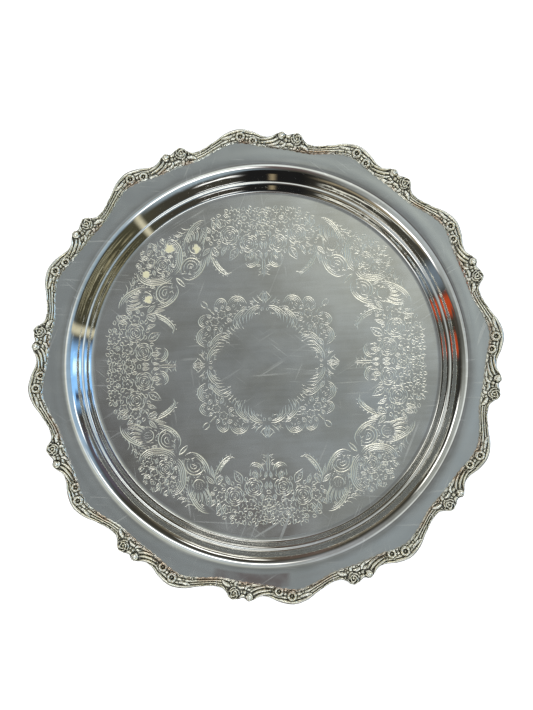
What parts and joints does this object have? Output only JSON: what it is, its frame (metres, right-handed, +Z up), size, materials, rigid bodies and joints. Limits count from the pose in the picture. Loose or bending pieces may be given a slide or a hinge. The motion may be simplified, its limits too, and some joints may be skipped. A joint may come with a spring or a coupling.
{
  "type": "salver",
  "caption": "Round tray with a flat sunken well, a stepped side and a scalloped flange edged with cast flower and reed mounts.",
  "frame": {"origin": "centre of the salver on the plane that it stands on", "axes": "+Z up out of the well, +X and +Y along two axes of the engraving's four-fold pattern"},
  "size_m": [0.3284, 0.3284, 0.0215],
  "materials": {
    "sheet_silver": "worn polish with fine scratches",
    "cast_silver": "worn polish with dark patina in the recesses"
  },
  "bodies": {
    "root": {"tray_body": "sheet_silver", "border_section_01": "cast_silver", "border_section_02": "cast_silver", "border_section_03": "cast_silver", "border_section_04": "cast_silver", "border_section_05": "cast_silver", "border_section_06": "cast_silver", "border_section_07": "cast_silver", "border_section_08": "cast_silver", "border_section_09": "cast_silver", "border_section_10": "cast_silver", "border_section_11": "cast_silver", "border_section_12": "cast_silver"}
  },
  "joints": []
}
